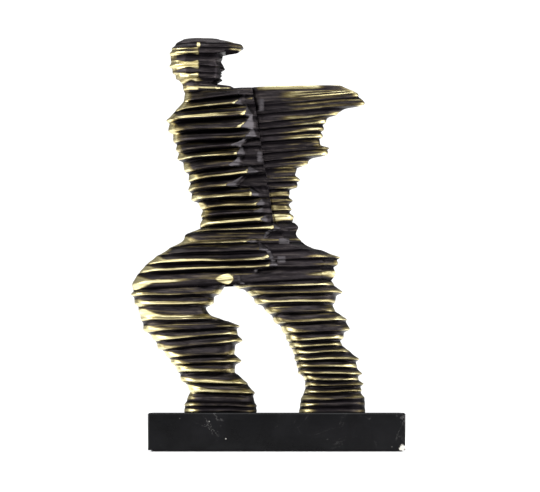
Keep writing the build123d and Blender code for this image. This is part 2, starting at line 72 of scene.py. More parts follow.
# -------- how each casting is finished
# columns: points round the figure. row: spacing of the rows. round: how far corners in plan are rounded.
# slab: how far ridges differ in the front and back. extra: how much deeper than in the frame the grooves
# are. minor: height of the minor ridges. line: height of the fine lines. wave: how far ridges wander up and
# down. dome: how far the top swells. polish and highlight: how bright the crests are, rubbed, with painted
# highlight at the rims. rim: how far the gold spreads at the rims, partly rubbed and partly painted highlight
# of
# the side lights. fine: how bright the fine lines are. dark: how black the grooves are. seed: the noise's own
# number.
Finish = namedtuple("Finish", "columns row round slab extra minor line wave dome polish rim fine dark seed")
LEG = Finish(
    columns=300, row=0.42 * MM, round=4.2 * MM, slab=0.9 * MM, extra=1.1 * MM, minor=0.8 * MM,
    line=0.16 * MM, wave=0.45 * MM, dome=0.0, polish=0.88, rim=0.76, fine=0.38, dark=0.62, seed=11,
)
BODY = LEG._replace(extra=1.3 * MM, polish=0.92, rim=1.0, fine=0.16, dark=1.0)
ARM = BODY._replace(columns=340, row=0.34 * MM, round=2.2 * MM, slab=0.5 * MM, extra=0.1 * MM)
HEAD = BODY._replace(columns=420, row=0.26 * MM, round=0.8 * MM, slab=0.2 * MM, extra=0.3 * MM)
CASTINGS = {
    "left_leg_casting": LEG,
    "right_leg_casting": LEG._replace(seed=23),
    "pelvis_casting": BODY._replace(columns=460, round=3.0 * MM, dome=0.4 * MM, seed=37),
    "torso_casting": BODY._replace(columns=340, round=2.4 * MM, slab=0.6 * MM, dome=0.8 * MM, seed=41),
    "arm_casting": ARM._replace(
        minor=0.4 * MM, line=0.42 * MM, wave=0.30 * MM, dome=0.5 * MM, polish=1.0, rim=0.7, fine=0.0, seed=59
    ),
    "head_casting": HEAD._replace(
        minor=0.2 * MM, line=0.05 * MM, wave=0.15 * MM, dome=0.7 * MM, polish=0.95, rim=0.7, fine=0.0, seed=67
    ),
}
# Castings whose top, or bottom, is a joint that lies in a groove.
GROOVE_ABOVE = ("left_leg_casting", "right_leg_casting", "pelvis_casting")
GROOVE_BELOW = ("pelvis_casting", "torso_casting", "arm_casting", "head_casting")

FACETED = ("torso_casting", "pelvis_casting")
# Where the pelvis's last facet is, right of its middle, as a share of its width.
PELVIS_FACETS = 0.26
ARM_HALF_DEPTH = -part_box("arm_casting")[0][1]
BASE_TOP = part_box("marble_base")[1][2]
# Crests that hands have hardly reached, by their number from the bottom up, and how bright each still is.
DIM = {
    "torso_casting": {1: 0.35, 3: 0.85, 4: 0.6, 6: 0.35, 8: 0.25, 9: 0.45, 13: 0.3},
    "pelvis_casting": {1: 0.85, 3: 0.4, 6: 0.3},
}
# Small cut facets right of the large ones: (x, height above the base, half width, half height).
SMALL_FACETS = [
    (-9.8 * MM, 202.8 * MM, 1.3 * MM, 4.0 * MM),
    (-10.9 * MM, 168.2 * MM, 1.5 * MM, 3.4 * MM),
    (5.0 * MM, 112.6 * MM, 3.2 * MM, 1.8 * MM),
    (3.2 * MM, 100.4 * MM, 2.4 * MM, 2.0 * MM),
]
# Where the fainter ridges are between two crests, as shares of the way up.
MINOR_RIDGES = (0.20, 0.40, 0.60)
# How often the rows are smoothed up and down, most at the tips.
TIP_PASSES = 6
# The edge of a small facet fades between these shares of its size.
SMALL_FACET_EDGE = (1.15, 0.85)
# The rubbed diamond above the gap between the legs: long to the left, blunt to the right.
DIAMOND_X = -31.8 * MM
DIAMOND_HEIGHT = 87.4 * MM
DIAMOND_LEFT = 9.5 * MM
DIAMOND_RIGHT = 4.0 * MM
DIAMOND_HALF_HEIGHT = 3.8 * MM
# The feet: how high they fade into the leg, how far apart their bands are and how high the lowest one is.
FOOT_FADE = (10 * MM, 7 * MM)
FOOT_BAND = 4.0 * MM
FOOT_LOWEST_BAND = 1.4 * MM
FOOT_BAND_DEPTH = 0.7 * MM

# Reading a casting back: the step of its tables, and how far inside its ends the end sections are read.
TABLE_STEP = 0.25 * MM
END_INSET = 0.03 * MM
# The bedding is read off edges this long, blurred this far up and down, and led to its ends over this height.
LONG_EDGE = 3 * MM
BEDDING_BLUR = 2.5 * MM
BEDDING_END = 4 * MM
# The centres are averaged over this many steps of the table.
CENTRE_WINDOW = 41
# A crest stands out from the run over this height. Crests are this far from each other and from both ends.
CREST_RUN = 3 * MM
CREST_APART = 2.4 * MM
CREST_ABOVE_BOTTOM = 1.5 * MM
CREST_BELOW_TOP = 1.0 * MM
# A ridge's profile, from one crest to the next: how far up it is, and where in the frame's plain
# ridge that height's outline is read. The groove, at 0.5, sits high, just under the next crest.
PROFILE_UP = [0.0, 0.07, 0.30, 0.78, 0.91, 1.0]
PROFILE_READ = [0.0, 0.11, 0.28, 0.50, 0.88, 1.0]
GROOVE_AT = 0.78
# Where in a ridge a casting starts and ends that does so in no groove, and how close rows are on steep parts.
LOWEST_UP = 0.90
HIGHEST_UP = 0.3
STEEP_ROWS = 0.7
# How far into the groove each share of the way up is.
GROOVE_UP = [0, 0.08, GROOVE_AT, 0.90, 1.0]
GROOVE_IN = [0, 0.08, 1.0, 0.45, 0.0]
# The surface faces right by this much, as (none, all), on a cut facet and on its shine, at the tips of the
# ridges, and on the faces that the arm and the torso turn to each other.
CUT_FACING = (0.25, 0.45)
FACET_FACING = (0.30, 0.50)
TIP_FACING = (0.5, 0.95)
ARM_JOINT_FACING = (0.8, 0.95)
TORSO_JOINT_FACING = (0.93, 0.98)
# How far those two faces are moved into each other, so that no gap shows.
JOINT_LAP = 1.2 * MM
# How far past the arm's depth a ridge is proud, as (not at all, wholly).
PROUD = (0.7 * MM, 1.7 * MM)
# The relief fades in over this height at both ends of a casting.
END_FADE = 3 * MM
# The pitch at which minor ridges appear, as (none, all).
MINOR_PITCH = (3.2 * MM, 5.0 * MM)

# The underside is this much smaller than the lowest row.
UNDERSIDE_SHARE = 0.985
# The value that marks faces that look straight down as painted shade: black and without metal, so that they
# reflect nothing.
UNDERSIDE_SHADE = 2.0
# The swelling top: (share of the outline, share of its height), then its shine and its darkness.
DOME = [(0.97, 0.35), (0.88, 0.65), (0.70, 0.85), (0.45, 0.96), (0.2, 1.0)]
DOME_POLISH = 0.5
DOME_SUNK = 0.15


# -------- smooth noise, the same on every run
def lattice(ix, iy, iz, seed):
    """A fixed value from -1 to 1 for each whole-number place."""
    h = (ix * 374761393 + iy * 668265263 + iz * 2147483647 + seed * 1274126177) & 0xFFFFFFFF
    h = ((h ^ (h >> 13)) * 1274126177) & 0xFFFFFFFF
    h = ((h ^ (h >> 16)) * 2246822519) & 0xFFFFFFFF
    return (h ^ (h >> 15)) / 0x7FFFFFFF - 1.0


def noise(x, y, z, seed):
    """Smooth noise from -1 to 1 that varies over a distance of 1."""
    whole = [np.floor(v).astype(np.int64) for v in (x, y, z)]
    part = [v - w for v, w in zip((x, y, z), whole)]
    ease = [p * p * (3 - 2 * p) for p in part]
    total = 0.0
    for dx in (0, 1):
        for dy in (0, 1):
            for dz in (0, 1):
                share = 1.0
                for e, d in zip(ease, (dx, dy, dz)):
                    share = share * (e if d else 1 - e)
                total = total + share * lattice(whole[0] + dx, whole[1] + dy, whole[2] + dz, seed)
    return total


def smoothstep(low, high, value):
    """From 0 at low to 1 at high, with no corners, whichever of the two is the larger."""
    t = np.clip((value - low) / (high - low), 0.0, 1.0)
    return t * t * (3 - 2 * t)


# mean, swing: the value's middle, and how far it goes up and down. length: the distance over which it
# varies. step: how fast it changes from layer to layer. seed: added to the casting's own.
Vary = namedtuple("Vary", "mean swing length step seed")
GROOVE_DEPTH = Vary(0.65, 0.35, 14 * MM, 5.3, 0)
RIDGE_OUTLINE = Vary(0.5, 0.5, 13 * MM, 7.7, 1)
RIM_WIDTH = Vary(13 * MM, 5 * MM, inf, 2.9, 20)
MINOR_PLACE = Vary(0.0, 0.05, inf, 3.1, 2)
MINOR_STRENGTH = Vary(0.0, 1.0, 26 * MM, 9.1, 24)
FINE_LINES = Vary(0.0, 0.7, 34 * MM, 1 / (0.85 * MM), 8)
BROAD_LINES = Vary(0.0, 0.5, 20 * MM, 1 / (1.7 * MM), 10)
PITTING = Vary(0.0, 0.05 * MM, 2.2 * MM, 1 / (1.3 * MM), 9)
WANDER = Vary(0.0, 1.0, 17 * MM, 1 / (9 * MM), 12)
RIM_FAVOUR = Vary(0.80, 0.55, 30 * MM, 4.3, 15)
CREST_WIDTH = Vary(0.13, 0.11, 22 * MM, 5.9, 17)
CREST_STRENGTH = Vary(0.70, 0.60, 26 * MM, 6.1, 16)
MINOR_SHINE = Vary(0.42, 0.32, 20 * MM, 3.7, 18)


def vary(kind, x, y, layer, seed):
    """A value that varies over the surface and from layer to layer."""
    value = noise(x / kind.length, y / kind.length, layer * kind.step, seed + kind.seed)
    return kind.mean + kind.swing * value


# -------- reading a casting back from the frame
class Casting:
    """A CAD casting as sections along its bedding, the tilted planes that its ridges lie on."""

    def __init__(self, node, columns):
        low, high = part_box(node)
        self.middle = (low[0] + high[0]) / 2
        self.read_surface(node)
        self.bottom, bottom_tilt = self.end_plane(-1)
        self.top, top_tilt = self.end_plane(1)
        self.fit_bedding(bottom_tilt, top_tilt)
        self.aim_rays(columns, high[1] - low[1])

    def read_surface(self, node):
        """Points, triangles and sharp edges, with the points that share a place joined."""
        bm = bmesh.new()
        bm.from_mesh(frame["nodes"][node].data)
        bmesh.ops.remove_doubles(bm, verts=bm.verts, dist=1e-6)
        bmesh.ops.triangulate(bm, faces=bm.faces)
        self.points = np.array([v.co for v in bm.verts])
        self.triangles = np.array([[v.index for v in f.verts] for f in bm.faces])
        self.normals = np.array([f.normal for f in bm.faces])
        self.areas = np.array([f.calc_area() for f in bm.faces])
        sharp = [e for e in bm.edges if len(e.link_faces) == 2 and e.calc_face_angle(0) > 0.2]
        self.sharp = np.array([[v.index for v in e.verts] for e in sharp])
        bm.free()

    def end_plane(self, side):
        """(height at the middle, tilt) of the biggest flat face that faces down, or up."""
        facing = np.flatnonzero(self.normals[:, 2] * side > 0.95)
        offset = np.einsum("ij,ij->i", self.normals[facing], self.points[self.triangles[facing, 0]])
        keys = np.round(np.column_stack([self.normals[facing] * 200, offset / (0.2 * MM)])).astype(int)
        _, which = np.unique(keys, axis=0, return_inverse=True)
        biggest = np.argmax(np.bincount(which.ravel(), self.areas[facing]))
        face = facing[np.flatnonzero(which.ravel() == biggest)[0]]
        n, p = self.normals[face], self.points[self.triangles[face, 0]]
        tilt = -n[0] / n[2]
        return p[2] + tilt * (self.middle - p[0]), tilt

    def fit_bedding(self, bottom_tilt, top_tilt):
        """How steeply the bedding rises to the right at each height: the mean of the edges near it."""
        start, end = self.points[self.sharp[:, 0]], self.points[self.sharp[:, 1]]
        run = np.abs(end - start)
        level = (run[:, 0] > LONG_EDGE) & (run[:, 2] < 0.3 * run[:, 0]) & (run[:, 1] < run[:, 0])
        start, end, weight = start[level], end[level], run[level, 0]
        slope = (end - start)[:, 2] / (end - start)[:, 0]
        at = start[:, 2] - slope * (start[:, 0] - self.middle)
        self.heights = np.arange(self.bottom, self.top, TABLE_STEP)
        near = np.exp(-0.5 * ((self.heights[:, None] - at[None]) / BEDDING_BLUR) ** 2) * weight
        tilt = (near @ slope) / np.maximum(near.sum(axis=1), 1e-12)
        from_bottom = smoothstep(0, BEDDING_END, self.heights - self.bottom)
        from_top = smoothstep(0, BEDDING_END, self.top - self.heights)
        tilt = bottom_tilt + (tilt - bottom_tilt) * from_bottom
        self.tilts = top_tilt + (tilt - top_tilt) * from_top

    def tilt(self, height):
        return np.interp(height, self.heights, self.tilts)

    def outline_at(self, height):
        """The section's edges in plan, as start and end points."""
        above = self.points[:, 2] - height - self.tilt(height) * (self.points[:, 0] - self.middle)
        side = above[self.triangles]
        cut = side.min(axis=1) * side.max(axis=1) < 0
        corners, side = self.points[self.triangles[cut]], side[cut]
        crossings = []
        for a, b in ((0, 1), (1, 2), (2, 0)):
            share = side[:, a] / np.where(side[:, a] == side[:, b], 1, side[:, a] - side[:, b])
            place = corners[:, a] + share[:, None] * (corners[:, b] - corners[:, a])
            crossings.append((side[:, a] * side[:, b] < 0, place[:, :2]))
        starts, ends = np.zeros((len(side), 2)), np.zeros((len(side), 2))
        found = np.zeros(len(side), int)
        for hit, place in crossings:
            starts[hit & (found == 0)] = place[hit & (found == 0)]
            ends[hit & (found == 1)] = place[hit & (found == 1)]
            found += hit
        return starts[found == 2], ends[found == 2]

    def aim_rays(self, columns, depth):
        """A centre for each height, and directions that space the columns evenly round the section."""
        extents = []
        for height in self.heights:
            starts, ends = self.outline_at(np.clip(height, self.bottom + END_INSET, self.top - END_INSET))
            x = np.concatenate([starts[:, 0], ends[:, 0]])
            extents.append((x.min(), x.max()))
        extents = np.array(extents)
        window = np.ones(CENTRE_WINDOW) / CENTRE_WINDOW
        centre = np.pad(extents.mean(axis=1), CENTRE_WINDOW // 2, mode="edge")
        self.centres = np.convolve(centre, window, mode="valid")
        around = (np.arange(columns) + 0.5) / columns * 2 * pi
        mean_width = (extents[:, 1] - extents[:, 0]).mean()
        self.directions = np.column_stack([mean_width * np.cos(around), depth * np.sin(around)])
        self.directions /= np.linalg.norm(self.directions, axis=1)[:, None]

    def centre(self, height):
        return np.interp(height, self.heights, self.centres)

    def radii(self, height, centre):
        """How far the outermost surface is from the centre along each direction."""
        height = np.clip(height, self.bottom + END_INSET, self.top - END_INSET)
        starts, ends = self.outline_at(height)
        starts, along = starts - [centre, 0], ends - starts
        d = self.directions
        cross = d[:, :1] * along[None, :, 1] - d[:, 1:] * along[None, :, 0]
        cross = np.where(np.abs(cross) < 1e-15, 1e-15, cross)
        reach = (starts[:, 0] * along[:, 1] - starts[:, 1] * along[:, 0])[None] / cross
        share = (starts[None, :, 0] * d[:, 1:] - starts[None, :, 1] * d[:, :1]) / cross
        hit = (share >= -1e-4) & (share <= 1 + 1e-4) & (reach > 0)
        return np.where(hit, reach, 0).max(axis=1)

    def crests(self):
        """The heights of the crests: where the sections stand out from the run of those near them."""
        width = np.array([self.radii(h, self.centre(h)).mean() for h in self.heights])
        spread = int(CREST_RUN / TABLE_STEP)
        kernel = np.exp(-0.5 * (np.arange(-3 * spread, 3 * spread + 1) / spread) ** 2)
        run = np.convolve(np.pad(width, 3 * spread, mode="edge"), kernel / kernel.sum(), mode="valid")
        stand = np.convolve(np.pad(width - run, 2, mode="edge"), np.ones(5) / 5, mode="valid")
        found = [
            i
            for i in range(2, len(stand) - 2)
            if stand[i] == stand[i - 2 : i + 3].max() and stand[i] > 0
        ]
        kept = []
        for i in found:
            if kept and self.heights[i] - kept[-1] < CREST_APART:
                continue
            kept.append(self.heights[i])
        low, high = self.bottom + CREST_ABOVE_BOTTOM, self.top - CREST_BELOW_TOP
        return [h for h in kept if low < h < high]


Row = namedtuple("Row", "height read slab up pitch")


def rows_of(casting, finish, groove_below, groove_above):
    """The rows of the finished mesh: where each one is, where it is read, and where it is in its ridge."""
    crests = casting.crests()
    rows = []
    count = max(3, round((crests[0] - casting.bottom) / finish.row))
    lowest_up = GROOVE_AT if groove_below else LOWEST_UP
    for share in np.arange(count) / count:
        height = casting.bottom + share * (crests[0] - casting.bottom)
        rows.append(Row(height, height, 0, lowest_up + (1 - lowest_up) * share, crests[0] - casting.bottom))
    for slab, (low, high) in enumerate(zip(crests, crests[1:]), start=1):
        pitch = high - low
        gentle = max(4, round(GROOVE_AT * pitch / finish.row))
        steep = max(3, round((1 - GROOVE_AT) * pitch / (STEEP_ROWS * finish.row)))
        ups = list(np.arange(gentle) / gentle * GROOVE_AT)
        ups += list(GROOVE_AT + np.arange(steep) / steep * (1 - GROOVE_AT))
        for up in ups:
            read = low + np.interp(up, PROFILE_UP, PROFILE_READ) * pitch
            rows.append(Row(low + up * pitch, read, slab, up, pitch))
    pitch = casting.top - crests[-1]
    highest_up = GROOVE_AT if groove_above else HIGHEST_UP
    count = max(3, round(pitch / finish.row))
    for share in np.arange(count + 1) / count:
        height = crests[-1] + share * pitch
        rows.append(Row(height, height, len(crests), highest_up * share, pitch))
    return rows


def smoothed_round(values, columns):
    """Values smoothed round each row, over a Gaussian of this many columns."""
    reach = int(np.ceil(3 * columns))
    weights = np.exp(-0.5 * (np.arange(-reach, reach + 1) / columns) ** 2)
    weights /= weights.sum()
    return sum(w * np.roll(values, k, axis=1) for w, k in zip(weights, range(-reach, reach + 1)))


def facing(x, y):
    """Which way the surface faces, in plan."""
    step_x = np.roll(x, -2, axis=1) - np.roll(x, 2, axis=1)
    step_y = np.roll(y, -2, axis=1) - np.roll(y, 2, axis=1)
    length = np.hypot(step_x, step_y) + 1e-12
    return step_y / length, -step_x / length


def facets_of(node, casting, x, y, facing_x, facing_y, columns):
    """The cut facets in which the proud ridges end, and everything to the right of them on the front."""
    proud = smoothstep(*PROUD, -y - ARM_HALF_DEPTH)
    facet = smoothstep(*FACET_FACING, facing_x) * (facing_y < 0) * proud
    if node == "pelvis_casting":
        facet = facet * (x < casting.middle + PELVIS_FACETS * (x.max() - x.min()))
    passed = np.zeros_like(x)
    passed[:, columns // 2 :] = np.maximum.accumulate(facet[:, columns // 2 :], axis=1)
    return facet, passed


def small_facets(x, y, z):
    """The small flat cuts beside the large facets."""

    def fade(share):
        return smoothstep(*SMALL_FACET_EDGE, share)

    found = np.zeros_like(x)
    for at_x, at_height, half_width, half_height in SMALL_FACETS:
        across = np.abs(x - at_x) / half_width
        along = np.abs(z - BASE_TOP - at_height) / half_height
        found = np.maximum(found, fade(across) * fade(along))
    return found * (y < 0)


# -------- the face, a plain calm one
# Heights are above the chin and the profile is how far each lies behind the forehead, both as shares of the
# head's height from chin to crown. The eyes are a little under halfway up, the nose's base is midway between
# the brow and the chin, and the mouth is a third of the way from the nose's base to the chin.
FACE_HEIGHT = 28.5 * MM
FACE_FRONT = 35.6 * MM
FACE_RADIUS = 11 * MM
PROFILE = [(-0.08, 0.30), (-0.03, 0.13), (0.04, 0.035), (0.09, 0.06), (0.18, 0.045), (0.26, 0.05)]
PROFILE += [(0.38, 0.055), (0.47, 0.06), (0.54, 0.02), (0.62, 0.0), (0.70, 0.0)]
# Each feature is (side, height, half width, half height, how far it stands out), as the same shares.
FEATURES = [
    (0.00, 0.045, 0.100, 0.055, 0.026),
    (0.00, 0.095, 0.105, 0.022, -0.014),
    (0.00, 0.150, 0.066, 0.022, 0.028),
    (0.00, 0.178, 0.085, 0.010, -0.022),
    (0.00, 0.203, 0.072, 0.020, 0.024),
    (0.075, 0.290, 0.034, 0.030, 0.036),
    (0.235, 0.345, 0.080, 0.075, 0.022),
    (0.140, 0.465, 0.085, 0.052, -0.050),
    (0.140, 0.458, 0.052, 0.032, 0.034),
    (0.140, 0.448, 0.055, 0.007, -0.010),
    (0.150, 0.535, 0.095, 0.032, 0.030),
]
NOSE_TIP = 0.295
NOSE_ROOT = 0.490
NOSE_STANDS = 0.105
# How far the nose stands out at its root, as a share of its tip, and how it fades in above and below.
NOSE_ROOT_SHARE = 0.12
NOSE_TOP_FADE = 0.05
NOSE_BASE_FADE = (-0.075, 0.015)
# Its half width at the root, and how much wider it is at the tip.
NOSE_WIDTH = 0.036
NOSE_WIDENS = 0.034
# The castings' lines go on faintly over the face.
FACE_LINES = 0.12 * MM
# Where the face joins the ridges: at its sides, its bottom and its top, as (none, all).
FACE_SIDES = (10.6 * MM, 8.0 * MM)
FACE_BOTTOM = (-0.09, -0.03)
FACE_TOP = (0.70, 0.63)


def shape_face(node, x, y, z, groove):
    """Gives the head's front a face: returns the new x, and how far each point is part of the face."""
    low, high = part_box(node)
    up = (z - (high[2] - FACE_HEIGHT)) / FACE_HEIGHT
    side = np.abs(y) / FACE_HEIGHT
    heights, behind = zip(*PROFILE)
    stands = -np.interp(up, heights, behind)
    for at_side, at_up, half_width, half_height, out in FEATURES:
        across, along = (side - at_side) / half_width, (up - at_up) / half_height
        stands = stands + out * np.exp(-(across**2) - along**2)
    along = np.clip((NOSE_ROOT - up) / (NOSE_ROOT - NOSE_TIP), 0, 1)
    under = smoothstep(NOSE_TIP + NOSE_BASE_FADE[0], NOSE_TIP + NOSE_BASE_FADE[1], up)
    nose = NOSE_ROOT_SHARE + (1 - NOSE_ROOT_SHARE) * along
    nose = nose * smoothstep(NOSE_ROOT + NOSE_TOP_FADE, NOSE_ROOT, up) * under
    stands = stands + NOSE_STANDS * nose * np.exp(-((side / (NOSE_WIDTH + NOSE_WIDENS * along)) ** 2))
    within = np.minimum(np.abs(y), 0.96 * FACE_RADIUS)
    curve = FACE_RADIUS - np.sqrt(FACE_RADIUS**2 - within**2)
    face_x = low[0] + FACE_FRONT - curve + stands * FACE_HEIGHT - FACE_LINES * groove
    share = smoothstep(*FACE_SIDES, np.abs(y)) * (x > low[0] + 0.5 * FACE_FRONT)
    share = share * smoothstep(*FACE_BOTTOM, up) * smoothstep(*FACE_TOP, up)
    return x + (face_x - x) * share, share


# The head's gold bands: (share of its height, half thickness).
BANDS = [(0.09, 0.7 * MM), (0.275, 1.5 * MM), (0.50, 1.5 * MM), (0.72, 0.6 * MM), (0.785, 0.5 * MM)]
# The arris lies this far from the head's back. Forward of it the bands end, after flaring over this length.
HEAD_ARRIS = 19.6 * MM
BAND_END = (1.5 * MM, -1.0 * MM)
BAND_FLARE = 6 * MM
# Shares of the head's height: where the bands stop at the crown, where the peak starts, how high its worn lip
# reaches, and the lower and upper end of the worn patch on the arris.
CROWN_FROM = (0.80, 0.86)
PEAK_FROM = 0.77
LIP = (0.84, 0.79)
PATCH_LOW = (0.78, 0.84)
PATCH_HIGH = (0.93, 0.88)
PATCH_HALF_WIDTH = 1.1 * MM
# The collar's half thickness, and how far from the head's back it and the peak's shine fade.
COLLAR_HALF = (0.9 * MM, 0.4 * MM)
COLLAR_END = (43 * MM, 38 * MM)
PEAK_SHINE = (26 * MM, 46 * MM)
LIP_LENGTH = 8 * MM
# The peak's underside is painted shade, black and without metal: how far below the crown, and how far in
# front of the face, as (none, all).
PEAK_UNDERSIDE = (7.6 * MM, 8.4 * MM)
PEAK_UNDERSIDE_DEPTH = 12 * MM
PEAK_IN_FRONT = (0.5 * MM, 2 * MM)


def head_shine(node, x, z, left_rim, lines, face):
    """Gold bands round the back of the head, up to the arris, and worn edges on the cap's peak. Near the left
    rim the bands widen and the gold spreads, partly as painted highlight of the left light.
    """
    low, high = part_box(node)
    share = (z - low[2]) / (high[2] - low[2])
    from_back = x - low[0]
    from_arris = x - (low[0] + HEAD_ARRIS)
    back = smoothstep(*BAND_END, from_arris)
    ending = smoothstep(-BAND_FLARE, 0, from_arris)
    shine = np.zeros_like(x)
    for at, half in BANDS:
        off = np.abs(share - at) * (high[2] - low[2])
        # Near the left rim the bands widen and the back turns gold: partly a painted highlight of the left
        # light.
        spread = half * (1 + 1.3 * left_rim + 0.9 * ending)
        shine = np.maximum(shine, 1 - smoothstep(spread * 0.75, spread * 1.35, off))
    crown = smoothstep(*CROWN_FROM, share)
    shine = np.maximum(shine, 0.6 * smoothstep(0.6, 1.0, left_rim)) * back * (1 - crown)
    shine = shine * (0.66 + 0.34 * np.clip(lines, -1, 1))
    collar = np.abs(share - BANDS[0][0]) * (high[2] - low[2])
    collar = smoothstep(*COLLAR_HALF, collar) * smoothstep(*COLLAR_END, from_back)
    shine = np.maximum(shine, 0.6 * collar)
    patch = (np.abs(from_arris) < PATCH_HALF_WIDTH) * smoothstep(*PATCH_LOW, share)
    shine = np.maximum(shine, 0.8 * patch * smoothstep(*PATCH_HIGH, share))
    peak = smoothstep(*PEAK_SHINE, from_back) * (share > PEAK_FROM)
    shine = np.maximum(shine, peak * (0.38 + 0.6 * lines))
    lip = (share > PEAK_FROM) * smoothstep(*LIP, share)
    lip = lip * smoothstep(FACE_FRONT, FACE_FRONT + LIP_LENGTH, from_back)
    shine = np.maximum(shine, 0.6 * lip)
    return np.maximum(shine, 0.28 * face * smoothstep(-0.2, 0.8, lines))


def diamond_shine(x, y, z, lines):
    """The rubbed diamond above the gap between the legs."""
    from_middle = x - DIAMOND_X
    across = np.abs(from_middle) / np.where(from_middle < 0, DIAMOND_LEFT, DIAMOND_RIGHT)
    along = np.abs(z - BASE_TOP - DIAMOND_HEIGHT) / DIAMOND_HALF_HEIGHT
    return smoothstep(1.2, 0.5, across**1.2 + along**1.7 + 0.10 * lines) * (y < 0)


# The arm's shine is full and gone at these distances from the tip, and grows between the next two places.
# Its top edge is worn this far down, fades in over two places and out over the last two.
ARM_OUTER = (3 * MM, 30 * MM)
ARM_OUTWARD = (-10 * MM, 18 * MM)
ARM_TOP_EDGE = (3.2 * MM, 1.0 * MM)
ARM_EDGE_FROM = (-22 * MM, -4 * MM)
ARM_EDGE_TO = (40 * MM, 22 * MM)


def arm_shine(polish, x, from_right, below_top, groove, lines):
    """Fine gold streaks, stronger outward, and a worn top edge: returns the shine and the dullness."""
    outer = 1 - smoothstep(*ARM_OUTER, from_right)
    outer = np.maximum(outer, 0.80 * smoothstep(*ARM_OUTWARD, x))
    raised = smoothstep(-0.15, 0.50, lines)
    polish = outer * np.maximum(0.95 * raised * (1 - 0.7 * groove), 0.75 * polish)
    top_edge = smoothstep(*ARM_TOP_EDGE, below_top) * smoothstep(*ARM_EDGE_FROM, x)
    polish = np.maximum(polish, 0.75 * top_edge * smoothstep(*ARM_EDGE_TO, x))
    return polish, 0.66 - 0.15 * outer - 0.34 * raised


# On the pelvis's front the shine comes back right of the facets, over these places. Below these heights above
# its bottom, and left of these places, the grey facets are rubbed away.
PELVIS_SHINE_BACK = (30 * MM, 10 * MM)
RUBBED_HEIGHT = (9 * MM, 7 * MM)
RUBBED_LEFT_OF = (-23.5 * MM, -26 * MM)


